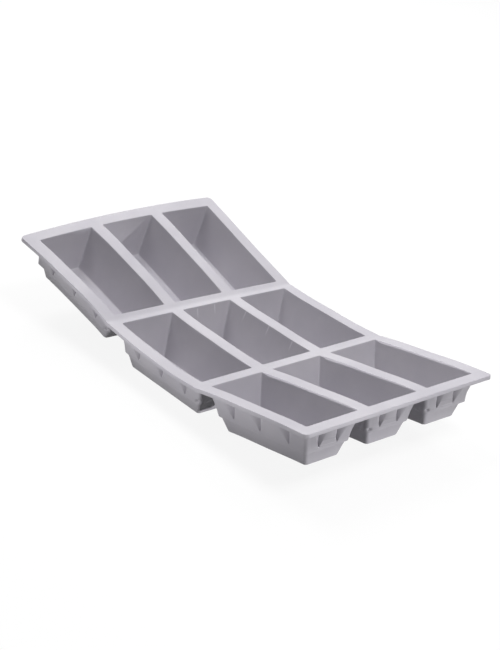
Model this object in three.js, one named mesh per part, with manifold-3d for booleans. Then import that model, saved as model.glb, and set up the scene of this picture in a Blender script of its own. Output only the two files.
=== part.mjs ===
// A flexible nine-cup mini cake mould, bowed upwards along its length.
// Three rows of three tapered loaf cups hang in a thin rim. The rows flex on two webs,
// and the base of each cup gives when it is pushed from below to free the cake.
// Millimetres, +Z up. +X runs along the mould to the front row, +Y across it to the right column.
// The origin lies under the middle cup, on the plane that the middle row stands on.
import * as THREE from "three";
import { mergeVertices } from "three/addons/utils/BufferGeometryUtils.js";
import Module from "manifold-3d";

const wasm = await Module();
wasm.setup();

// Layout
const rowNames = ["back", "middle", "front"];
const columnNames = ["left", "centre", "right"];
const cupLength = 88; // opening along the mould, at the top of the rim
const cupWidth = 44; // opening across the mould, at the top of the rim
const rowWeb = 9.5; // rim between two rows of cups
const columnWeb = 9.5; // rim between two columns of cups
const rimWidth = 9.5; // rim outside the outermost cups
const rimCornerRadius = 3.5;
const backBend = 15.5; // degrees by which the back row is bowed up
const frontBend = 11.2; // degrees by which the front row is bowed up

// Sections
const rimThickness = 2.2;
const cupDepth = 31; // from the top of the rim to the underside of the cup
const wallThickness = 2.4; // measured level, not square to the wall
const baseThickness = 2.2;
const draftAngle = 18.3; // degrees by which each cup wall leans out
const cavityCornerRadius = 1;
const wallCornerRadius = 2;
const baseEdgeRadius = 0.8;

// Fluted skirt on the walls that face outwards: a shoulder that leans with the wall,
// and below it a steeper face that ends in a step
const shoulderProud = 0.7; // how far the shoulder stands out from the plain wall
const skirtProud = 1.8; // how far the lower edge of the skirt stands out from the plain wall
const skirtDraft = 4; // degrees by which the steeper face leans out
const skirtDrop = 20; // from the top of the rim to the lower edge of the skirt
const skirtUndercut = 1; // height of the bevel under the skirt
const skirtReturn = 6; // length in which the skirt dies away on a wall that faces another cup
const fluteFoot = 2; // unbroken skirt below the point of a flute
const fluteWidth = 10.5; // at the top of a flute
const flutePointWidth = 1;
const fluteDepth = 2.3; // at the top of a flute
const sideFlutes = 3;
const sideFluteSpacing = 25;
const endFlutes = 2;
const endFluteSpacing = 15.5;

// Where separate pieces meet
const seam = 0.3; // gap between a piece and its neighbour
const webSeat = 2.4; // rim that stays with each row beside a flexing web

// Fineness of round corners, how far a cutting solid runs past the face that it cuts,
// and how close two points lie to count as one
const cornerSteps = 3;
const fluteSteps = 4;
const baseEdgeSteps = 2;
const cutMargin = 1;
const weldDistance = 1e-4;

const draftSlope = slopeOf(draftAngle);
const skirtSlope = slopeOf(skirtDraft);
const wallTop = rimThickness + seam; // depth at which the cup walls start below the rim
const shoulderDrop = skirtDrop - (skirtProud - shoulderProud) / (draftSlope - skirtSlope);
const fluteDrop = skirtDrop - fluteFoot;
const rowPitch = cupLength + rowWeb;
const columnPitch = cupWidth + columnWeb;
const mouldWidth = columnPitch * (columnNames.length - 1) + cupWidth + 2 * rimWidth;
const lastRow = rowNames.length - 1;
const lastColumn = columnNames.length - 1;
const middleRow = rowNames.indexOf("middle");

const silicone = { color: 0xb3b0b7, roughness: 0.6, metalness: 0 };

function slopeOf(degrees) {
  return Math.tan(THREE.MathUtils.degToRad(degrees));
}

// Solids from closed surfaces

function toSolid(geometry) {
  const bare = geometry.clone();
  bare.deleteAttribute("normal");
  bare.deleteAttribute("uv");
  const merged = mergeVertices(bare, weldDistance);
  return new wasm.Manifold(
    new wasm.Mesh({
      numProp: 3,
      vertProperties: new Float32Array(merged.attributes.position.array),
      triVerts: new Uint32Array(merged.index.array),
    }),
  );
}

function toGeometry(solid) {
  const mesh = solid.getMesh();
  const geometry = new THREE.BufferGeometry();
  geometry.setAttribute("position", new THREE.BufferAttribute(mesh.vertProperties, mesh.numProp));
  geometry.setIndex(new THREE.BufferAttribute(mesh.triVerts, 1));
  geometry.computeVertexNormals();
  return geometry;
}

// Skins a stack of loops that have as many points each, run anticlockwise seen from above
// and are listed from the top down, and closes both ends with a fan.
function loft(loops) {
  const count = loops[0].length;
  const points = loops.flat();
  const triangles = [];
  for (let level = 0; level + 1 < loops.length; level++) {
    for (let i = 0; i < count; i++) {
      const next = (i + 1) % count;
      const upper = level * count;
      const lower = upper + count;
      triangles.push(upper + i, lower + i, lower + next);
      triangles.push(upper + i, lower + next, upper + next);
    }
  }
  const topCentre = points.length;
  const bottomCentre = topCentre + 1;
  const bottom = (loops.length - 1) * count;
  points.push(middleOf(loops[0]), middleOf(loops[loops.length - 1]));
  for (let i = 0; i < count; i++) {
    const next = (i + 1) % count;
    triangles.push(topCentre, i, next);
    triangles.push(bottomCentre, bottom + next, bottom + i);
  }
  const geometry = new THREE.BufferGeometry().setFromPoints(points);
  geometry.setIndex(triangles);
  return geometry;
}

function middleOf(loop) {
  const sum = loop.reduce((total, point) => total.add(point), new THREE.Vector3());
  return sum.divideScalar(loop.length);
}

// Cup outlines

// Half the cavity's length and width at a depth below the top of the rim.
function cavityHalf(depth) {
  const inset = depth * draftSlope;
  return { x: cupLength / 2 - inset, y: cupWidth / 2 - inset };
}

// A rectangle with round corners at a depth, grown by a margin all round.
function cavityLoop(depth, margin) {
  const half = cavityHalf(depth);
  const radius = cavityCornerRadius;
  const loop = [];
  for (let corner = 0; corner < 4; corner++) {
    const signX = corner === 0 || corner === 3 ? 1 : -1;
    const signY = corner < 2 ? 1 : -1;
    const centreX = signX * (half.x + margin - radius);
    const centreY = signY * (half.y + margin - radius);
    loop.push(...arc(centreX, centreY, radius, (corner * Math.PI) / 2, -depth));
  }
  return loop;
}

// A quarter turn of points about a centre, anticlockwise from an angle.
function arc(centreX, centreY, radius, fromAngle, z) {
  const points = [];
  for (let step = 0; step <= cornerSteps; step++) {
    const angle = fromAngle + ((Math.PI / 2) * step) / cornerSteps;
    points.push(
      new THREE.Vector3(centreX + radius * Math.cos(angle), centreY + radius * Math.sin(angle), z),
    );
  }
  return points;
}

// The four sides of a cup, anticlockwise: which way each faces, and whether it faces outwards.
function cupSides(row, column) {
  return [
    { facing: 0, outward: row === lastRow, flutes: endFlutes, spacing: endFluteSpacing },
    { facing: 1, outward: column === lastColumn, flutes: sideFlutes, spacing: sideFluteSpacing },
    { facing: 2, outward: row === 0, flutes: endFlutes, spacing: endFluteSpacing },
    { facing: 3, outward: column === 0, flutes: sideFlutes, spacing: sideFluteSpacing },
  ];
}

// How far the skirt stands out from the plain wall at a depth.
function skirtAt(depth) {
  const steepFace = skirtProud - (skirtDrop - depth) * (draftSlope - skirtSlope);
  return Math.max(shoulderProud, steepFace);
}

// The share of a flute's width that is left at a depth.
function flutingAt(depth) {
  return THREE.MathUtils.clamp((fluteDrop - depth) / (fluteDrop - wallTop), 0, 1);
}

// The outline of a cup's outside at a depth, with a wall of some thickness,
// a skirt that stands proud of it and a share of the flutes.
function wallLoop(sides, depth, wall, proud, fluting) {
  const half = cavityHalf(depth);
  const loop = [];
  sides.forEach((side, index) => {
    const next = sides[(index + 1) % sides.length];
    const previous = sides[(index + sides.length - 1) % sides.length];
    const alongX = side.facing % 2 === 1;
    const reach = (alongX ? half.y : half.x) + wall;
    const straightHalf = (alongX ? half.x : half.y) + wall - wallCornerRadius;
    const turn = (side.facing * Math.PI) / 2;
    const pointAt = (along, distance) => {
      const x = distance * Math.cos(turn) - along * Math.sin(turn);
      const y = distance * Math.sin(turn) + along * Math.cos(turn);
      return new THREE.Vector3(x, y, -depth);
    };
    const profile = side.outward
      ? skirtProfile(side, previous, next, straightHalf, proud, fluting)
      : plainProfile(previous, next, straightHalf);
    loop.push(...profile.map(([along, out]) => pointAt(along, reach + out)));
    const { shift, growth } = skirtCorner(side, next, proud, fluting);
    const centre = pointAt(straightHalf + shift, reach + shift - wallCornerRadius);
    loop.push(...arc(centre.x, centre.y, wallCornerRadius + growth, turn, -depth));
  });
  return loop;
}

// How the skirt takes a corner. At a corner of the mould the round shifts out with both walls.
// Where one of the walls faces another cup, it grows by what half a flute leaves of the skirt.
function skirtCorner(side, next, proud, fluting) {
  if (side.outward && next.outward) return { shift: proud, growth: 0 };
  const growth = side.outward || next.outward ? proud * (1 - fluting) : 0;
  return { shift: 0, growth };
}

// Points along a fluted side, as distance along and distance out from the plain wall.
// A flute stays deep for most of its length, and ends in a blunt point.
function skirtProfile(side, previous, next, straightHalf, proud, fluting) {
  const halfWidth = THREE.MathUtils.lerp(flutePointWidth, fluteWidth, fluting) / 2;
  const points = [];
  if (!previous.outward) points.push([halfWidth - straightHalf, proud]);
  for (let flute = 0; flute < side.flutes; flute++) {
    const along = (flute - (side.flutes - 1) / 2) * side.spacing;
    points.push([along - halfWidth, proud]);
    points.push([along, proud - fluteDepth * Math.sqrt(fluting)]);
    points.push([along + halfWidth, proud]);
  }
  if (!next.outward) points.push([straightHalf - halfWidth, proud]);
  return points;
}

// Points along a plain side, where the skirt that comes round a corner ends.
function plainProfile(previous, next, straightHalf) {
  const points = [];
  if (previous.outward) points.push([skirtReturn - straightHalf, 0]);
  if (next.outward) points.push([straightHalf - skirtReturn, 0]);
  return points;
}

// Pieces, each in the frame of its own row or cup: z 0 is the top of the rim

function cavityCutter() {
  return toSolid(loft([-cutMargin, cupDepth + cutMargin].map((depth) => cavityLoop(depth, 0))));
}

// The tapered wall of a cup, open above and below, with the fluted skirt on its outward sides.
function cupWall(row, column) {
  const sides = cupSides(row, column);
  const skirtLevels = [skirtDrop];
  if (shoulderDrop > wallTop) skirtLevels.push(shoulderDrop);
  for (let step = 0; step <= fluteSteps; step++) {
    skirtLevels.push(THREE.MathUtils.lerp(wallTop, fluteDrop, step / fluteSteps));
  }
  skirtLevels.sort((a, b) => a - b);
  const loops = skirtLevels.map((depth) =>
    wallLoop(sides, depth, wallThickness, skirtAt(depth), flutingAt(depth)),
  );
  loops.push(wallLoop(sides, skirtDrop + skirtUndercut, wallThickness, 0, 0));
  for (let step = 0; step <= baseEdgeSteps; step++) {
    const angle = ((Math.PI / 2) * step) / baseEdgeSteps;
    const depth = cupDepth - baseEdgeRadius * (1 - Math.sin(angle));
    const inset = baseEdgeRadius * (1 - Math.cos(angle));
    loops.push(wallLoop(sides, depth, wallThickness - inset, 0, 0));
  }
  return toGeometry(toSolid(loft(loops)).subtract(cavityCutter()));
}

// The panel that closes a cup and slides up between its walls.
function cupBase() {
  return loft([cupDepth - baseThickness, cupDepth].map((depth) => cavityLoop(depth, -seam)));
}

// The rim of one row, with an opening for each cup.
function rowRim(row) {
  const backEdge = -cupLength / 2 - (row === 0 ? rimWidth : webSeat);
  const frontEdge = cupLength / 2 + (row === lastRow ? rimWidth : webSeat);
  const backRadius = row === 0 ? rimCornerRadius : 0;
  const frontRadius = row === lastRow ? rimCornerRadius : 0;
  const side = mouldWidth / 2;
  const outline = new THREE.Shape();
  outline.moveTo(backEdge + backRadius, -side);
  outline.lineTo(frontEdge - frontRadius, -side);
  if (frontRadius) {
    outline.absarc(frontEdge - frontRadius, frontRadius - side, frontRadius, -Math.PI / 2, 0);
    outline.lineTo(frontEdge, side - frontRadius);
    outline.absarc(frontEdge - frontRadius, side - frontRadius, frontRadius, 0, Math.PI / 2);
  } else {
    outline.lineTo(frontEdge, side);
  }
  outline.lineTo(backEdge + backRadius, side);
  if (backRadius) {
    outline.absarc(backEdge + backRadius, side - backRadius, backRadius, Math.PI / 2, Math.PI);
    outline.lineTo(backEdge, backRadius - side);
    outline.absarc(backEdge + backRadius, backRadius - side, backRadius, Math.PI, Math.PI * 1.5);
  } else {
    outline.lineTo(backEdge, -side);
  }
  const plate = new THREE.ExtrudeGeometry(outline, {
    depth: rimThickness,
    bevelEnabled: false,
    curveSegments: cornerSteps * 2,
  }).translate(0, 0, -rimThickness);
  let solid = toSolid(plate);
  columnNames.forEach((_, column) => {
    solid = solid.subtract(cavityCutter().translate([0, columnY(column), 0]));
  });
  return toGeometry(solid);
}

// The strip that two rows flex on. Its long edges are round about lines beside the hinge line.
function flexWeb() {
  const radius = rimThickness / 2;
  const straight = rowWeb / 2 - webSeat - seam - radius;
  const section = new THREE.Shape();
  section.moveTo(-straight, -radius);
  section.absarc(straight, 0, radius, -Math.PI / 2, Math.PI / 2);
  section.absarc(-straight, 0, radius, Math.PI / 2, Math.PI * 1.5);
  return new THREE.ExtrudeGeometry(section, {
    depth: mouldWidth,
    bevelEnabled: false,
    curveSegments: cornerSteps * 2,
  })
    .rotateX(Math.PI / 2)
    .translate(0, mouldWidth / 2, 0);
}

// Assembly

function columnY(column) {
  return (column - lastColumn / 2) * columnPitch;
}

function named(name, geometry) {
  const mesh = new THREE.Mesh(geometry, new THREE.MeshStandardMaterial(silicone));
  mesh.name = name;
  return mesh;
}

// One row in its own frame: the rim, and a wall and a base for each cup.
function rowGroup(row) {
  const group = new THREE.Group();
  group.add(named(`${rowNames[row]}_rim`, rowRim(row)));
  columnNames.forEach((columnName, column) => {
    const cup = new THREE.Group();
    cup.position.y = columnY(column);
    cup.add(named(`${rowNames[row]}_${columnName}_cup`, cupWall(row, column)));
    cup.add(named(`${rowNames[row]}_${columnName}_base`, cupBase()));
    group.add(cup);
  });
  return group;
}

const hingeZ = cupDepth - rimThickness / 2;
const mould = new THREE.Group();
rowNames.forEach((rowName, row) => {
  const side = Math.sign(row - middleRow); // -1 behind the middle row, 1 in front of it
  const hinge = new THREE.Group();
  hinge.position.set((side * rowPitch) / 2, 0, hingeZ);
  const bend = { back: backBend, middle: 0, front: frontBend }[rowName];
  hinge.rotation.y = THREE.MathUtils.degToRad(-side * bend);
  const group = rowGroup(row);
  group.position.set((side * rowPitch) / 2, 0, rimThickness / 2);
  hinge.add(group);
  mould.add(hinge);
  if (side !== 0) {
    const web = named(`${rowName}_flex_web`, flexWeb());
    web.position.copy(hinge.position);
    mould.add(web);
  }
});

export default mould;
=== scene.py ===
import math

import bmesh
import bpy
from mathutils import Matrix, Vector, noise


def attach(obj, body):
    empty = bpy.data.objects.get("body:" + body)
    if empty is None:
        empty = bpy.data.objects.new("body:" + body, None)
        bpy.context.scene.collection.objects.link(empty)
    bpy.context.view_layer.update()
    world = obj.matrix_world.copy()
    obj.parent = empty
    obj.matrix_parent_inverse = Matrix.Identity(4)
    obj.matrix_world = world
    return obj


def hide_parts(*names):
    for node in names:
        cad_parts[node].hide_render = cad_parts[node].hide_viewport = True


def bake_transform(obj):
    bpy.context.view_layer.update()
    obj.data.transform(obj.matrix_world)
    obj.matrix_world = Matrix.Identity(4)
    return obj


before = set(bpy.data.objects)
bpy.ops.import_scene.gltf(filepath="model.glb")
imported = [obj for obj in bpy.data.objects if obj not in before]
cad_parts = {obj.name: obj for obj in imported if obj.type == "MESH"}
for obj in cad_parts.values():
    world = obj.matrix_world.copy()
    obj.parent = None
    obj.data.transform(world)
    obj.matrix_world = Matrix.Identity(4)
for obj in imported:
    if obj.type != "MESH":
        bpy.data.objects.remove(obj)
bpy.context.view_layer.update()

mm = 0.001
quarterTurn = math.pi / 2
sharpAngle = math.radians(38)       # edges that turn by more are shaded sharp
rowNames = ["back", "middle", "front"]
columnNames = ["left", "centre", "right"]

# the sheet, in millimetres and degrees
# u runs to the front row, v to the right column and w up from the top of the rim
sheet = {
    "cupLength": 88,
    "cupWidth": 44,
    "cupDepth": 31,
    "web": 9.5,             # rim between two cups
    "rimWidth": 9.5,        # rim outside the outermost cups
    "rimThickness": 2.2,
    "backBend": 15.5,
    "frontBend": 11.2,
    "bendHalf": 3.9,        # half the strip in which the rim turns from one row to the next
    "bendInset": 0.3,       # of that strip, the part at either end that is meant to move with the row; here only points at its edges are worked out
}
rowPitch = sheet["cupLength"] + sheet["web"]
columnPitch = sheet["cupWidth"] + sheet["web"]
halfWidth = columnPitch + sheet["cupWidth"] / 2 + sheet["rimWidth"]

# how the soft sheet departs from three flat rows, in millimetres, at stations from back to front
slump = {
    "stations": [-151, -125, -97.5, -72, -48.75, -25, 0, 25, 48.75, 72, 97.5, 125, 151],
    "leftUp": [-3.27, -0.81, 0.83, 2.26, 1.3, -1.06, -2.29, -2.24, -0.51, 0.3, 0, -0.46, -1.99],
    "middleUp": [1.75, 2.33, 1.85, 1.26, -0.07, -1.04, -1.08, -0.98, 0.12, 0.7, 0.49, 0.24, -1.16],
    "rightUp": [0.26, -0.7, -1.72, -2.04, -2.34, -2.79, -2.1, -1.33, 0.59, 1.35, 1.1, 0.84, -0.84],
    "leftAcross": [-5.5, -3.66, -1.97, -0.72, 0.29, 0.34, 0.33, -0.09, -0.48, -0.69, -0.82, -0.41, 0.16],
    "rightAcross": [0.53, 0.86, 1.01, 1.04, 0.99, 0.82, 0.64, 0.12, -0.32, -0.34, -0.22, 0.63, 1.68],
    "along": [-0.3, 0.01, 0.34, 0.52, 0.68, 0.51, 0.33, -0.07, -0.44, -0.38, -0.32, 0.07, 0.44],
    "ripple": 0.12,         # fine unevenness of the deck
    "rippleLength": 34,
}


def smoothStep(t):
    t = min(max(t, 0.0), 1.0)
    return t * t * (3 - 2 * t)


def mix(a, b, t):
    return a + (b - a) * t


def stationShares(u):
    # a smooth curve through the stations: the places used and their shares
    stations = slump["stations"]
    last = len(stations) - 1
    k = 0
    while k < last - 1 and u > stations[k + 1]:
        k += 1
    span = stations[k + 1] - stations[k]
    t = (u - stations[k]) / span
    rise = smoothStep(t)
    shares = {k: 1 - rise, k + 1: rise}
    for place, lift in ((k, t * (1 - t) ** 2), (k + 1, t * t * (t - 1))):
        low = max(place - 1, 0)
        high = min(place + 1, last)
        slope = lift * span / (stations[high] - stations[low])
        shares[high] = shares.get(high, 0) + slope
        shares[low] = shares.get(low, 0) - slope
    return shares


def slumpAt(u, v):
    shares = stationShares(u)

    def reading(name):
        return sum(slump[name][k] * share for k, share in shares.items())

    q = v / halfWidth
    middle = reading("middleUp")
    left = reading("leftUp")
    right = reading("rightUp")
    up = middle + (right - left) / 2 * q + ((left + right) / 2 - middle) * q * q
    up += slump["ripple"] * noise.noise(Vector((u, v, 0)) / slump["rippleLength"])
    across = mix(reading("leftAcross"), reading("rightAcross"), (1 + q) / 2)
    return reading("along"), across, up


def restPoint(u, v, w):
    # flat sheet to the bowed rest pose, in metres: the outer rows turn up about the middle of each web
    side = -1 if u < 0 else 1
    along = side * u - rowPitch / 2
    share = smoothStep(0.5 + along / (2 * sheet["bendHalf"]))
    angle = math.radians(sheet["backBend"] if side < 0 else sheet["frontBend"]) * share
    height = w + sheet["rimThickness"] / 2
    x = side * (rowPitch / 2 + along * math.cos(angle) - height * math.sin(angle))
    z = sheet["cupDepth"] - sheet["rimThickness"] / 2 + along * math.sin(angle) + height * math.cos(angle)
    forward, across, up = slumpAt(u, v)
    hold = mix(1 + w / sheet["cupDepth"], 1, share)     # the middle row's bases stay on the table
    return Vector((x + forward * hold, v + across * hold, z + up * hold)) * mm


def meshPiece(name, bm):
    bmesh.ops.recalc_face_normals(bm, faces=bm.faces)
    mesh = bpy.data.meshes.new(name)
    bm.to_mesh(mesh)
    bm.free()
    mesh.shade_smooth()
    mesh.set_sharp_from_angle(angle=sharpAngle)
    piece = bpy.data.objects.new(name, mesh)
    bpy.context.collection.objects.link(piece)
    return piece


# depths are measured down from the top of the rim
cup = {
    "draft": 18.3,          # degrees by which the walls lean out
    "wall": 2.4,
    "floor": 2.2,
    "cavityRadius": 1.0,
    "wallRadius": 2.0,
    "lipRound": 0.5,
    "lipFlat": 0.15,        # deck that belongs to the cup, beside its rounded lip
    "floorRound": 1.1,
    "baseRound": 0.9,
    "cornerSteps": 6,
    "roundSteps": 4,
    "capShares": [0.35, 0.8],           # rings on the floor and on the base, as shares of their outline
    "cavityDepths": [25, 22, 19, 16, 13, 10, 7, 4.5, 2.5, 1.2],
    "skirtDepths": [
        3, 4, 5.2, 6.5, 8, 9.5, 11, 12.5, 14, 15, 15.8, 16.4, 16.9, 17.3, 17.6, 17.85, 18.1, 18.6, 19.2,
        19.7, 20, 20.15, 20.3, 20.45, 20.6, 20.75, 20.9],
    "wallDepths": [21.3, 23, 25, 27, 29],
    # columns of points beside a corner, from the end of a side
    "longEnds": [0.7, 1.4, 2.1, 2.8, 4],
    "shortEnds": [0.6, 1.2, 1.9],
    # gaps between the columns in the middle of a plain side, and the part of the side that they take up
    "longSteps": 6,
    "shortSteps": 3,
    "plainShare": 0.72,
    "unevenness": 0.1,      # of the walls
    "unevenLength": 17,
    "wallFade": 4,          # in which it dies away towards the rim and the base
    "cavityFade": 5,
    "rowSeed": 7.3,
    "columnSeed": 3.1,
    "cavitySeed": 40,
    "softFrom": 12,         # depths between which the walls are meant to give when the base is pushed; here only points on the cup's axis at them are worked out
    "softTo": 28,
}
skirt = {
    # how far the skirt stands out above its steep face and at its lower edge, and how the steep face leans
    "side": {"shoulder": 1.9, "proud": 2.3, "draft": 7.5},
    "corner": {"shoulder": 0.7, "proud": 2.1, "draft": 6.3},
    "cornerLength": 12,     # in which the one turns into the other
    "kinkRound": 0.2,
    "drop": 20,
    "undercut": 0.9,
    "innerShare": 0.75,     # what is left of it at an inner corner
    "innerLength": 5,       # in which it dies away there
    "fluteFoot": 2.5,
    "fluteWidth": 19,
    "pointWidth": 1.0,
    "fluteWall": 0.4,       # wall left behind the deepest place
    "fluteSwell": 0.4,      # how soon a flute is deep above its point
    "fluteEdge": 1.7,       # above 1 a flute starts softly at its edges and comes to a sharp valley
    "fluteColumns": [-1.12, -1, -0.86, -0.7, -0.5, -0.25, 0, 0.25, 0.5, 0.7, 0.86, 1, 1.12],
    "sideFlutes": [-23, 2, 27.5],       # towards the front
    "endFlutes": [-9.3, 6.2],           # towards the right
    "pitCorner": {"front", "left"},     # small dents at the lower end of the half flutes
    "pitDepth": 1.7,
    "pitSize": 1.0,
    "pitPlace": -0.5,       # from the end of the straight side
    "pitDrop": 17.8,
}
lean = math.radians(cup["draft"])
draftSlope = math.tan(lean)
wallTop = sheet["rimThickness"]
fluteDrop = skirt["drop"] - skirt["fluteFoot"]
lipReach = cup["lipRound"] * (1 - math.sin(lean)) / math.cos(lean)
seamReach = lipReach + cup["lipFlat"]       # from the cavity's edge to where the rim's deck starts


def cupSides(row, column):
    ends = skirt["endFlutes"]
    long = skirt["sideFlutes"]
    sides = [
        ("front", row == 2, ends),
        ("right", column == 2, sorted(-place for place in long)),
        ("back", row == 0, sorted(-place for place in ends)),
        ("left", column == 0, long),
    ]
    return [{
        "facing": facing,
        "outward": outward,
        "flutes": flutes,
        "long": facing in ("left", "right"),
    } for facing, outward, flutes in sides]


def halfOpening(side):
    # half of the cup's opening along a side, and half of it across
    length = sheet["cupLength"] / 2
    width = sheet["cupWidth"] / 2
    return (length, width) if side["long"] else (width, length)


def straightHalf(side, depth):
    return halfOpening(side)[0] - depth * draftSlope + cup["wall"] - cup["wallRadius"]


def flutingAt(depth):
    return min(max((fluteDrop - depth) / (fluteDrop - wallTop), 0.0), 1.0)


def fluteHalf(depth):
    return mix(skirt["pointWidth"], skirt["fluteWidth"], flutingAt(depth)) / 2


def sideColumns(side):
    # columns of points on a side: those at the ends keep to the corners and those of a flute to its edges
    ends = cup["longEnds"] if side["long"] else cup["shortEnds"]
    middle = []
    if side["outward"]:
        flutes = side["flutes"]
        reach = skirt["fluteWidth"] / 2
        outer = straightHalf(side, wallTop) - ends[-1]
        stops = [-outer] + [(a + b) / 2 for a, b in zip(flutes, flutes[1:])] + [outer]
        for low, centre, high in zip(stops, flutes, stops[1:]):
            shares = [share for share in skirt["fluteColumns"] if low < centre + share * reach < high]
            middle += [("flute", centre, share) for share in shares]
    else:
        steps = cup["longSteps"] if side["long"] else cup["shortSteps"]
        reach = straightHalf(side, skirt["drop"]) * cup["plainShare"]
        middle += [("plain", reach * (2 * k / steps - 1), 0) for k in range(steps + 1)]
    return [("corner", -1, e) for e in ends] + middle + [("corner", 1, e) for e in reversed(ends)]


def columnAt(column, side, depth):
    kind, place, extra = column
    half = straightHalf(side, depth)
    shrink = min(1, half / straightHalf(side, skirt["drop"]))
    if kind == "corner":
        return place * (half - extra * shrink)
    if kind == "flute":
        return (place + extra * fluteHalf(depth)) * shrink
    return place * shrink


def skirtAt(depth, part):
    shape = skirt[part]
    shoulder = shape["shoulder"]
    slope = draftSlope - math.tan(math.radians(shape["draft"]))
    steep = shape["proud"] - (skirt["drop"] - depth) * slope
    # the larger of the two, with a rounded kink
    proud = (steep + shoulder + math.hypot(steep - shoulder, skirt["kinkRound"])) / 2
    return mix(proud, 0, smoothStep((depth - skirt["drop"]) / skirt["undercut"]))


def fluteHollow(along, flutes, depth):
    deepest = skirtAt(depth, "side") + cup["wall"] - skirt["fluteWall"]
    deepest *= flutingAt(depth) ** skirt["fluteSwell"]
    offsets = [abs(along - centre) / fluteHalf(depth) for centre in flutes]
    return sum(deepest * (1 - offset) ** skirt["fluteEdge"] for offset in offsets if offset < 1)


def pitAt(side, neighbour, distance, depth):
    if {side["facing"], neighbour["facing"]} != skirt["pitCorner"]:
        return 0
    reach = math.hypot(distance - skirt["pitPlace"], depth - skirt["pitDrop"]) / skirt["pitSize"]
    return skirt["pitDepth"] * math.exp(-reach * reach)


def innerCorner(depth):
    # how far the skirt stands out at a corner with a plain side
    return skirtAt(depth, "corner") * (1 - flutingAt(depth)) * skirt["innerShare"]


def skirtOut(side, before, after, along, half, depth):
    # how far the skirt stands out from the plain wall at a place on a side
    corners = ((before, along + half), (after, half - along))
    inner = innerCorner(depth)
    if not side["outward"]:
        distances = [distance for neighbour, distance in corners if neighbour["outward"]]
        return sum(inner * (1 - smoothStep(distance / skirt["innerLength"])) for distance in distances)
    proud = skirtAt(depth, "side")
    atCorner = skirtAt(depth, "corner")
    fluting = flutingAt(depth)
    out = proud - fluteHollow(along, side["flutes"], depth)
    for neighbour, distance in corners:
        out -= (proud - atCorner) * (1 - smoothStep(distance / skirt["cornerLength"]))
        if not neighbour["outward"]:
            out -= atCorner * fluting * (1 - min(distance / fluteHalf(depth), 1))       # half a flute
            lost = atCorner * (1 - fluting) - inner
            out -= lost * (1 - smoothStep(distance / skirt["innerLength"]))
            out -= pitAt(side, neighbour, distance, depth)
    return out


def uneven(x, y, w, seed):
    return cup["unevenness"] * noise.noise(Vector((x, y, w)) / cup["unevenLength"] + Vector((seed, 0, 0)))


def arcPoints(cx, cy, radii, turn):
    # a quarter of a circle, with a radius for each point
    steps = len(radii) - 1
    angles = [turn + quarterTurn * k / steps for k in range(steps + 1)]
    return [(cx + r * math.cos(a), cy + r * math.sin(a)) for r, a in zip(radii, angles)]


def turned(turn, along, distance):
    return (
        distance * math.cos(turn) - along * math.sin(turn),
        distance * math.sin(turn) + along * math.cos(turn))


def wallRing(sides, columns, depth, inset, skirted, seed):
    # one level of the outside of a cup
    fade = smoothStep((depth - wallTop) / cup["wallFade"])
    fade *= smoothStep((sheet["cupDepth"] - depth) / cup["wallFade"])
    ring = []
    for k, side in enumerate(sides):
        before = sides[k - 1]
        after = sides[(k + 1) % 4]
        turn = k * quarterTurn
        half = straightHalf(side, depth)
        reach = halfOpening(side)[1] - depth * draftSlope + cup["wall"] - inset
        for column in columns[k]:
            along = columnAt(column, side, depth) * (half - inset) / half
            out = skirtOut(side, before, after, along, half, depth) if skirted else 0
            x, y = turned(turn, along, reach + out)
            x, y = turned(turn, along, reach + out + fade * uneven(x, y, depth, seed))
            ring.append((x, y, -depth))
        shift = 0
        radii = [cup["wallRadius"]] * (cup["cornerSteps"] + 1)
        if skirted and side["outward"] and after["outward"]:
            shift = skirtAt(depth, "corner")
        elif skirted and (side["outward"] or after["outward"]):
            arc = quarterTurn * cup["wallRadius"]
            for step in range(len(radii)):
                share = step / cup["cornerSteps"]
                distance = -arc * (share if side["outward"] else 1 - share)
                radii[step] += innerCorner(depth) - pitAt(side, after, distance, depth)
        centre = turned(turn, half - inset + shift, reach + shift - cup["wallRadius"])
        ring += [(x, y, -depth) for x, y in arcPoints(*centre, radii, turn)]
    return ring


def cavityRing(sides, columns, offset, w, seed=None):
    # one level of the inside of a cup, grown by an offset from the opening's sharp edge
    radius = cup["cavityRadius"] + max(offset, 0)
    radii = [radius] * (cup["cornerSteps"] + 1)
    ring = []
    for k, side in enumerate(sides):
        turn = k * quarterTurn
        alongHalf, acrossHalf = halfOpening(side)
        half = alongHalf + offset - radius
        reach = acrossHalf + offset
        low = straightHalf(side, skirt["drop"])
        for column in columns[k]:
            along = columnAt(column, side, skirt["drop"]) * half / low
            x, y = turned(turn, along, reach)
            if seed is not None:        # without one the ring is even
                bulge = smoothStep(-w / cup["cavityFade"]) * uneven(x, y, w, seed + cup["cavitySeed"])
                x, y = turned(turn, along, reach + bulge)
            ring.append((x, y, w))
        ring += [(x, y, w) for x, y in arcPoints(*turned(turn, half, reach - radius), radii, turn)]
    return ring


def shrunk(ring, share):
    return [(x * share, y * share, w) for x, y, w in ring]


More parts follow.
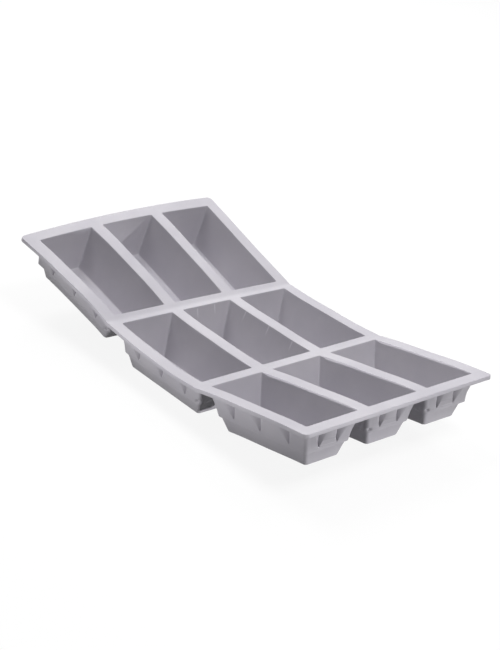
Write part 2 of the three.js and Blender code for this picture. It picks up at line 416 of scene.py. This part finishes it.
def cupProfile(row, column):
    # rings from the middle of the floor, up the inside, over the lip and down to the middle of the base
    sides = cupSides(row, column)
    columns = [sideColumns(side) for side in sides]
    seed = cup["rowSeed"] * row + cup["columnSeed"] * column
    steps = cup["roundSteps"]
    r = cup["floorRound"]
    centreW = cup["floor"] - sheet["cupDepth"] + r
    centreOffset = (centreW * math.sin(lean) - r) / math.cos(lean)
    rings = []
    for k in range(steps + 1):
        angle = mix(-quarterTurn, -lean, k / steps)
        offset = centreOffset + r * math.cos(angle)
        rings.append(cavityRing(sides, columns, offset, centreW + r * math.sin(angle)))
    rings = [shrunk(rings[0], share) for share in cup["capShares"]] + rings
    for depth in cup["cavityDepths"]:
        rings.append(cavityRing(sides, columns, -depth * draftSlope, -depth, seed))
    r = cup["lipRound"]
    for k in range(steps + 1):
        angle = mix(quarterTurn - lean, 0, k / steps)
        rings.append(cavityRing(sides, columns, lipReach - r * math.sin(angle), r * (math.cos(angle) - 1)))
    rings.append(cavityRing(sides, columns, seamReach, 0))
    rings.append(cavityRing(sides, columns, seamReach, -wallTop))
    for depth in [wallTop] + cup["skirtDepths"]:
        rings.append(wallRing(sides, columns, depth, 0, True, seed))
    for depth in cup["wallDepths"]:
        rings.append(wallRing(sides, columns, depth, 0, False, seed))
    r = cup["baseRound"]
    for k in range(steps + 1):
        angle = quarterTurn * k / steps
        depth = sheet["cupDepth"] - r * (1 - math.sin(angle))
        rings.append(wallRing(sides, columns, depth, r * (1 - math.cos(angle)), False, seed))
    base = rings[-1]
    return rings + [shrunk(base, share) for share in reversed(cup["capShares"])]


def cupSkin(row, column):
    name = f"{rowNames[row]}_{columnNames[column]}"
    rings = cupProfile(row, column)
    u = (row - 1) * rowPitch
    v = (column - 1) * columnPitch
    bm = bmesh.new()
    loops = [[bm.verts.new(restPoint(u + x, v + y, w)) for x, y, w in ring] for ring in rings]
    count = len(loops[0])
    for inner, outer in zip(loops, loops[1:]):
        for k in range(count):
            bm.faces.new((inner[k], inner[(k + 1) % count], outer[(k + 1) % count], outer[k]))
    for ring, loop in ((rings[0], loops[0]), (rings[-1], loops[-1])):
        middle = bm.verts.new(restPoint(u, v, ring[0][2]))
        for k in range(count):
            bm.faces.new((loop[k], loop[(k + 1) % count], middle))
    piece = meshPiece(f"{name}_cup_skin", bm)
    start = restPoint(u, v, -cup["softFrom"])
    end = restPoint(u, v, -cup["softTo"])
    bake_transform(piece)
    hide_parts(f"{name}_cup", f"{name}_base")
    return piece


rim = {
    "cornerRadius": 3.6,
    "edgeRound": 0.38,
    "edgeSteps": 4,
    "edgeBand": 0.9,        # narrow strip beside a rounded edge, which keeps the deck's shading flat
    "lip": 0.6,             # how much thicker the rim is along its free edge
    "spacing": 9,
    "webStrips": 14,
    "cornerSteps": 6,
    "digits": 4,            # to which places are rounded when points are shared
    "tolerance": 1e-3,
    "sharpTurn": 1,         # radians, above which an edge is one to round
}
quarters = {(1, 1): 0, (-1, 1): 1, (-1, -1): 2, (1, -1): 3}     # which way a corner points, and its turn


def gridLines(places):
    # the places, and more lines between those that lie far apart
    fixed = sorted(set(round(place, rim["digits"]) for place in places))
    lines = []
    for a, b in zip(fixed, fixed[1:]):
        steps = max(1, math.ceil((b - a) / rim["spacing"]))
        lines += [mix(a, b, k / steps) for k in range(steps)]
    return lines + [fixed[-1]]


def cornerFan(cx, cy, radius, quarter):
    return arcPoints(cx, cy, [radius] * (rim["cornerSteps"] + 1), quarter * quarterTurn)


class DeckPlan:
    # flat plan of a piece of the rim, whose points are shared by place
    def __init__(self):
        self.bm = bmesh.new()
        self.points = {}

    def vert(self, u, v):
        key = (round(u, rim["digits"]), round(v, rim["digits"]))
        if key not in self.points:
            self.points[key] = self.bm.verts.new((u, v, 0))
        return self.points[key]

    def face(self, *places):
        self.bm.faces.new([self.vert(*place) for place in places])


def sheetCorners(uEnds, freeEnds):
    # the sheet's own corners on a piece: which way they point and the middle of their round
    radius = rim["cornerRadius"]
    return [
        (su, sv, end - su * radius, sv * (halfWidth - radius))
        for su, end, free in zip((-1, 1), uEnds, freeEnds) if free for sv in (-1, 1)]


def deckLines(uEnds, freeEnds, holes):
    radius = rim["cornerRadius"]
    band = rim["edgeBand"]
    uFixed = list(uEnds)
    for end, free, inward in zip(uEnds, freeEnds, (1, -1)):
        if free:
            uFixed += [end + inward * band, end + inward * radius]
    vFixed = [s * d for s in (-1, 1) for d in (halfWidth, halfWidth - band, halfWidth - radius)]
    for u0, u1, v0, v1, r in holes:
        uFixed += [u0, u0 + r, u1 - r, u1]
        vFixed += [v0, v0 + r, v1 - r, v1]
    if not holes:           # a web: strips that bend, in line with the cups beside it
        uFixed += [mix(*uEnds, k / rim["webStrips"]) for k in range(1, rim["webStrips"])]
        edge = sheet["cupWidth"] / 2 + seamReach
        vFixed += [(column - 1) * columnPitch + s * edge for column in range(3) for s in (-1, 1)]
    return gridLines(uFixed), gridLines(vFixed)


def deckPlan(uEnds, freeEnds, holes):
    uLines, vLines = deckLines(uEnds, freeEnds, holes)
    corners = sheetCorners(uEnds, freeEnds)
    plan = DeckPlan()
    for ua, ub in zip(uLines, uLines[1:]):
        for va, vb in zip(vLines, vLines[1:]):
            um = (ua + ub) / 2
            vm = (va + vb) / 2
            inCorner = any(su * (um - cu) > 0 and sv * (vm - cv) > 0 for su, sv, cu, cv in corners)
            inHole = any(u0 < um < u1 and v0 < vm < v1 for u0, u1, v0, v1, _ in holes)
            if not inCorner and not inHole:
                plan.face((ua, va), (ub, va), (ub, vb), (ua, vb))
    for su, sv, cu, cv in corners:
        outer = cornerFan(cu, cv, rim["cornerRadius"], quarters[su, sv])
        inner = cornerFan(cu, cv, rim["cornerRadius"] - rim["edgeBand"], quarters[su, sv])
        for k in range(rim["cornerSteps"]):
            plan.face(inner[k], outer[k], outer[k + 1], inner[k + 1])
            plan.face((cu, cv), inner[k], inner[k + 1])
    for u0, u1, v0, v1, r in holes:
        for (su, sv), quarter in quarters.items():
            tip = (u1 if su > 0 else u0, v1 if sv > 0 else v0)
            arc = cornerFan(tip[0] - su * r, tip[1] - sv * r, r, quarter)
            for k in range(rim["cornerSteps"]):
                plan.face(tip, arc[k + 1], arc[k])
    return plan.bm


def fromFreeEdge(vert, uEnds, freeEnds):
    # distance from the free edge of the sheet
    u = vert.co.x
    v = vert.co.y
    for su, sv, cu, cv in sheetCorners(uEnds, freeEnds):
        if su * (u - cu) > 0 and sv * (v - cv) > 0:
            return rim["cornerRadius"] - math.hypot(u - cu, v - cv)
    ends = [abs(u - end) for end, free in zip(uEnds, freeEnds) if free]
    return min(ends + [halfWidth - abs(v)])


def deckPiece(name, uEnds, freeEnds, holes):
    # a plate whose free edges are rounded: each hole is its limits in u and v and the radius of its corners
    bm = deckPlan(uEnds, freeEnds, holes)
    bmesh.ops.recalc_face_normals(bm, faces=bm.faces)
    if bm.faces[0].normal.z < 0:
        bmesh.ops.reverse_faces(bm, faces=bm.faces)
    made = bmesh.ops.extrude_face_region(bm, geom=bm.faces[:])
    lifted = [g for g in made["geom"] if isinstance(g, bmesh.types.BMVert)]
    for vert in bm.verts:
        nearEdge = fromFreeEdge(vert, uEnds, freeEnds) < rim["edgeBand"] + rim["tolerance"]
        vert.co.z = -sheet["rimThickness"] - (rim["lip"] if nearEdge else 0)
    for vert in lifted:
        vert.co.z = 0
    bmesh.ops.recalc_face_normals(bm, faces=bm.faces)
    edges = []
    for edge in bm.edges:
        a, b = edge.verts
        level = abs(a.co.z - b.co.z) < rim["tolerance"]
        atEdge = max(fromFreeEdge(vert, uEnds, freeEnds) for vert in (a, b)) < rim["tolerance"]
        if level and atEdge and edge.calc_face_angle(0) > rim["sharpTurn"]:
            edges.append(edge)
    bmesh.ops.bevel(
        bm, geom=edges, offset=rim["edgeRound"], segments=rim["edgeSteps"], profile=0.5, affect="EDGES")
    for vert in bm.verts:
        vert.co = restPoint(*vert.co)
    return meshPiece(name, bm)


def rowRim(row):
    centre = (row - 1) * rowPitch
    toWeb = rowPitch / 2 - sheet["bendHalf"]
    free = sheet["cupLength"] / 2 + sheet["rimWidth"]
    ends = (centre - (free if row == 0 else toWeb), centre + (free if row == 2 else toWeb))
    a = sheet["cupLength"] / 2 + seamReach
    b = sheet["cupWidth"] / 2 + seamReach
    corner = cup["cavityRadius"] + seamReach
    holes = []
    for column in range(3):
        v = (column - 1) * columnPitch
        holes.append((centre - a, centre + a, v - b, v + b, corner))
    piece = deckPiece(f"{rowNames[row]}_rim_skin", ends, (row == 0, row == 2), holes)
    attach(piece, f"{rowNames[row]}_row")
    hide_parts(f"{rowNames[row]}_rim")
    return piece


def flexWeb(side):
    name = "back" if side < 0 else "front"
    hinge = side * rowPitch / 2
    ends = (hinge - sheet["bendHalf"], hinge + sheet["bendHalf"])
    piece = deckPiece(f"{name}_web_skin", ends, (False, False), [])
    reach = side * (sheet["bendHalf"] - sheet["bendInset"])
    inner = restPoint(hinge - reach, 0, -sheet["rimThickness"] / 2)
    outer = restPoint(hinge + reach, 0, -sheet["rimThickness"] / 2)
    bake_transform(piece)
    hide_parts(f"{name}_flex_web")
    return piece


class Wire:
    # a socket in a node tree, with arithmetic
    def __init__(self, tree, socket=None):
        self.tree = tree
        self.socket = socket

    def node(self, kind, settings=None, inputs=None, output=0):
        made = self.tree.nodes.new(kind)
        for key, value in (settings or {}).items():
            setattr(made, key, value)
        for key, value in (inputs or {}).items():
            if isinstance(value, Wire):
                self.tree.links.new(value.socket, made.inputs[key])
            else:
                made.inputs[key].default_value = value
        return Wire(self.tree, made.outputs[output] if len(made.outputs) else None)

    def sibling(self, output):
        # another socket of the same node
        return Wire(self.tree, self.socket.node.outputs[output])

    def math(self, operation, *values):
        return self.node("ShaderNodeMath", {"operation": operation}, dict(enumerate(values)))

    def __add__(self, other):
        return self.math("ADD", self, other)

    def __radd__(self, other):
        return self.math("ADD", other, self)

    def __sub__(self, other):
        return self.math("SUBTRACT", self, other)

    def __rsub__(self, other):
        return self.math("SUBTRACT", other, self)

    def __mul__(self, other):
        return self.math("MULTIPLY", self, other)

    def __rmul__(self, other):
        return self.math("MULTIPLY", other, self)

    def __abs__(self):
        return self.math("ABSOLUTE", self)

    def rise(self, low, high):
        # 0 below low and 1 above high
        limits = {"Value": self, "From Min": low, "From Max": high}
        return self.node("ShaderNodeMapRange", {"interpolation_type": "SMOOTHSTEP"}, limits, "Result")

    def blendColours(self, a, b):
        return self.node("ShaderNodeMix", {"data_type": "RGBA"}, {0: self, 6: a, 7: b}, 2)


def linear(red, green, blue):
    # screen values from 0 to 255 to a linear colour
    def one(c):
        c /= 255
        return c / 12.92 if c <= 0.04045 else ((c + 0.055) / 1.055) ** 2.4
    return (one(red), one(green), one(blue), 1)


silicone = {
    "tint": linear(180, 177, 184),
    "deepTint": linear(172, 169, 177),      # slow drift of the pigment
    "dust": linear(191, 189, 193),          # faint bloom where the sheet is handled and flexed
    # noises: length in metres, the values between which they come in, and shares in colour and roughness
    "mottle": {"length": 0.045, "detail": 3, "limits": (0.35, 0.68), "rough": 0.12},
    "streak": {"length": 0.004, "detail": 2, "limits": (0.5, 0.8), "share": 0.22},
    "grain": {"length": 0.0011, "detail": 2, "limits": (0.55, 0.8), "share": 0.18, "rough": 0.06},
    "bloom": {
        "length": 0.019, "detail": 4, "crumble": 0.62,
        "limits": (0.56, 0.82), "share": 0.25, "rough": 0.05},
    # and the two that raise the surface, with their strength and height
    "matte": {"length": 0.00042, "detail": 2, "crumble": 0.6, "strength": 0.6, "height": 0.00003},
    "wave": {"length": 0.011, "detail": 1, "strength": 0.5, "height": 0.00012},
    "crumble": 0.5,         # how much of the finer layers a noise keeps
    "streakStretch": (1, 1, 0.1),
    "roughness": 0.56,
    "specular": 0.5,
    "sheen": 0.15,
    "sheenRoughness": 0.45,
}


def siliconeMaterial(name, marks):
    material = bpy.data.materials.new(name)
    material.use_nodes = True
    tree = material.node_tree
    tree.nodes.clear()
    bench = Wire(tree)
    place = bench.node("ShaderNodeTexCoord", {}, {}, "Object")

    def noiseOf(key, vector):
        recipe = silicone[key]
        return bench.node("ShaderNodeTexNoise", {"noise_dimensions": "3D"}, {
            "Vector": vector,
            "Scale": 1 / recipe["length"],
            "Detail": recipe["detail"],
            "Roughness": recipe.get("crumble", silicone["crumble"]),
        }, "Fac")

    def bumpOf(key, under):
        recipe = silicone[key]
        return bench.node("ShaderNodeBump", {}, {
            "Strength": recipe["strength"],
            "Distance": recipe["height"],
            "Height": noiseOf(key, place),
            **under,
        }, "Normal")

    drawn = bench.node("ShaderNodeVectorMath", {"operation": "MULTIPLY"}, {
        0: place,
        1: silicone["streakStretch"],
    })
    mottle = noiseOf("mottle", place)
    grain = noiseOf("grain", place)
    shown = {
        "streak": noiseOf("streak", drawn).rise(*silicone["streak"]["limits"]),
        "grain": grain.rise(*silicone["grain"]["limits"]),
        "bloom": noiseOf("bloom", place).rise(*silicone["bloom"]["limits"]),
    }
    colour = mottle.rise(*silicone["mottle"]["limits"]).blendColours(silicone["tint"], silicone["deepTint"])
    for key, tint in (("streak", "deepTint"), ("grain", "dust"), ("bloom", "dust")):
        colour = (silicone[key]["share"] * shown[key]).blendColours(colour, silicone[tint])
    if marks:
        # painted highlights: light ticks blended into the base colour in place of reflections
        colour = marks(bench, place).blendColours(colour, paintedHighlightMarks["tint"])
    roughness = silicone["roughness"] + silicone["mottle"]["rough"] * (mottle - 0.5)
    roughness = roughness + silicone["grain"]["rough"] * (grain - 0.5)
    roughness = roughness + silicone["bloom"]["rough"] * shown["bloom"]
    shader = bench.node("ShaderNodeBsdfPrincipled", {}, {
        "Base Color": colour,
        "Roughness": roughness,
        "Normal": bumpOf("wave", {"Normal": bumpOf("matte", {})}),
        "Specular IOR Level": silicone["specular"],
        "Sheen Weight": silicone["sheen"],
        "Sheen Roughness": silicone["sheenRoughness"],
    }, "BSDF")
    bench.node("ShaderNodeOutputMaterial", {}, {"Surface": shader})
    return material


# painted highlights: light tick marks on the inside of the middle cup, standing in for reflections on its
# walls: places in metres
paintedHighlightMarks = {
    "tint": linear(226, 224, 229),
    "strength": 0.4,
    "spacing": 0.025,
    "endPlace": 0.008,
    "edge": (0.0002, 0.0008),           # half of a mark's width, in which it dies away
    "wall": (0.015, 0.016),             # where the right wall starts, and where its marks stop along it
    "wallEnds": (0.031, 0.033),
    "endWall": (-0.0375, -0.0365),
    "foot": (0.0212, 0.0268),
    "top": (0.0292, 0.0298),
}


# painted highlights: light ticks near the rim on the middle cup's right and far walls, standing in for
# reflections
def middleCupPaintedHighlights(bench, place):
    m = paintedHighlightMarks
    x = bench.node("ShaderNodeSeparateXYZ", {}, {"Vector": place})
    y = x.sibling(1)
    z = x.sibling(2)
    sideTick = 1 - bench.math("PINGPONG", x, m["spacing"] / 2).rise(*m["edge"])
    endTick = 1 - abs(abs(y) - m["endPlace"]).rise(*m["edge"])
    onSide = y.rise(*m["wall"]) * (1 - abs(x).rise(*m["wallEnds"]))
    onEnd = 1 - x.rise(*m["endWall"])
    fade = z.rise(*m["foot"]) * (1 - z.rise(*m["top"]))
    return m["strength"] * (sideTick * onSide + endTick * onEnd) * fade


rims = [rowRim(row) for row in range(3)]
webs = [flexWeb(side) for side in (-1, 1)]
print("rims and webs", sum(len(p.data.polygons) for p in rims + webs))
cups = {(row, column): cupSkin(row, column) for row in range(3) for column in range(3)}
print("cups", sum(len(p.data.polygons) for p in cups.values()))

plainSilicone = siliconeMaterial("matteSilicone", None)
# the middle cup's material carries painted highlights
highlightPaintedSilicone = siliconeMaterial("matteSiliconePaintedHighlights", middleCupPaintedHighlights)
for piece in rims + webs + list(cups.values()):
    piece.data.materials.append(highlightPaintedSilicone if piece is cups[1, 1] else plainSilicone)
print("silicone")

studio = {
    "floorSize": 6,
    "floorDrop": -0.0003,
    "floorGrey": 0.3,           # what the floor throws back on to the mould
    "shadowShare": 0.1,         # how much of the floor's white is real light, which the mould can shade
    "sky": 0.02,
    "white": (1, 1, 1, 1),
    "aim": (0, 0, 0.03),
    "spread": 180,
}
# soft lamps round the table: place, size and aim in metres, power in watts, and how wide the light fans out
lamps = {
    "backLamp": {"place": (-0.75, 0, 1.15), "size": 0.7, "power": 8.8},
    "backRightLamp": {"place": (-0.8, 0.8, 0.75), "size": 0.6, "power": 5.0},
    "rightLamp": {"place": (0, 0.75, 1.15), "size": 0.7, "power": 3.6},
    "frontLamp": {"place": (0.6, 0, 1.28), "size": 0.5, "power": 11.2},
    "lowFrontLamp": {
        "place": (1.25, 0.62, 0.02), "size": 0.03, "power": 0.25, "aim": (0.1, -0.05, -0.1), "spread": 20},
    "lowLeftLamp": {
        "place": (-0.2, -1.4, 0.012), "size": 0.02, "power": 0.66, "aim": (0.02, 0, 0.24), "spread": 22},
}


def lookingOn(bench):
    # 1 for the rays that should meet plain white, and 0 for those that carry light to the mould
    camera = bench.node("ShaderNodeLightPath", {}, {}, "Is Camera Ray")
    glossy = camera.sibling("Is Glossy Ray")
    through = camera.sibling("Is Transmission Ray")
    return bench.math("MAXIMUM", bench.math("MAXIMUM", camera, glossy), through)


def makeFloor():
    half = studio["floorSize"] / 2
    bm = bmesh.new()
    corners = [(-half, -half), (half, -half), (half, half), (-half, half)]
    bm.faces.new([bm.verts.new((x, y, studio["floorDrop"])) for x, y in corners])
    mesh = bpy.data.meshes.new("studio_floor")
    bm.to_mesh(mesh)
    bm.free()
    floor = bpy.data.objects.new("studio_floor", mesh)
    bpy.context.collection.objects.link(floor)
    material = bpy.data.materials.new("studioFloor")
    material.use_nodes = True
    material.node_tree.nodes.clear()
    bench = Wire(material.node_tree)
    grey = studio["floorGrey"]
    thrown = bench.node("ShaderNodeBsdfDiffuse", {}, {"Color": (grey, grey, grey, 1)})
    lit = bench.node("ShaderNodeBsdfDiffuse", {}, {"Color": studio["white"]})
    white = bench.node("ShaderNodeEmission", {}, {"Color": studio["white"], "Strength": 1})
    seen = bench.node("ShaderNodeMixShader", {}, {0: studio["shadowShare"], 1: white, 2: lit})
    both = bench.node("ShaderNodeMixShader", {}, {0: lookingOn(bench), 1: thrown, 2: seen})
    bench.node("ShaderNodeOutputMaterial", {}, {"Surface": both})
    mesh.materials.append(material)
    return floor


def makeSky():
    world = bpy.data.worlds.new("studioSky")
    world.use_nodes = True
    world.node_tree.nodes.clear()
    bench = Wire(world.node_tree)
    light = bench.node("ShaderNodeBackground", {}, {"Color": studio["white"], "Strength": studio["sky"]})
    white = bench.node("ShaderNodeBackground", {}, {"Color": studio["white"], "Strength": 1})
    both = bench.node("ShaderNodeMixShader", {}, {0: lookingOn(bench), 1: light, 2: white})
    bench.node("ShaderNodeOutputWorld", {}, {"Surface": both})
    bpy.context.scene.world = world


def makeLamp(name, lamp, floor):
    data = bpy.data.lights.new(name, "AREA")
    data.shape = "DISK"
    data.size = lamp["size"]
    data.energy = lamp["power"]
    data.spread = math.radians(lamp.get("spread", studio["spread"]))
    light = bpy.data.objects.new(name, data)
    light.visible_camera = False
    light.location = lamp["place"]
    aim = Vector(lamp.get("aim", studio["aim"]))
    light.rotation_euler = (aim - light.location).to_track_quat("-Z", "Y").to_euler()
    bpy.context.collection.objects.link(light)
    if "spread" in lamp:        # a low lamp would leave a bright pool on the floor beside it
        shaded = bpy.data.collections.new(name + "Shaded")
        shaded.objects.link(floor)
        shaded.collection_objects[0].light_linking.link_state = "EXCLUDE"
        light.light_linking.receiver_collection = shaded


# the photograph's view
view = {
    "eye": (0.74853, -0.75551, 0.55048),
    "right": (0.6507628, 0.7442377, 0.1503929),
    "up": (-0.4207335, 0.1885738, 0.8873688),
    "back": (0.6320531, -0.6407419, 0.4358425),
    "lens": 94.64,
    "sensor": 36,
}


def makeCamera():
    data = bpy.data.cameras.new("viewCamera")
    data.sensor_fit = "VERTICAL"
    data.sensor_height = view["sensor"]
    data.lens = view["lens"]
    camera = bpy.data.objects.new("viewCamera", data)
    turn = Matrix((view["right"], view["up"], view["back"])).transposed().to_4x4()
    camera.matrix_world = Matrix.Translation(view["eye"]) @ turn
    bpy.context.collection.objects.link(camera)
    bpy.context.scene.camera = camera


studioFloor = makeFloor()
makeSky()
for name, lamp in lamps.items():
    makeLamp(name, lamp, studioFloor)
makeCamera()
bpy.context.scene.view_settings.view_transform = "Standard"
print("studio")
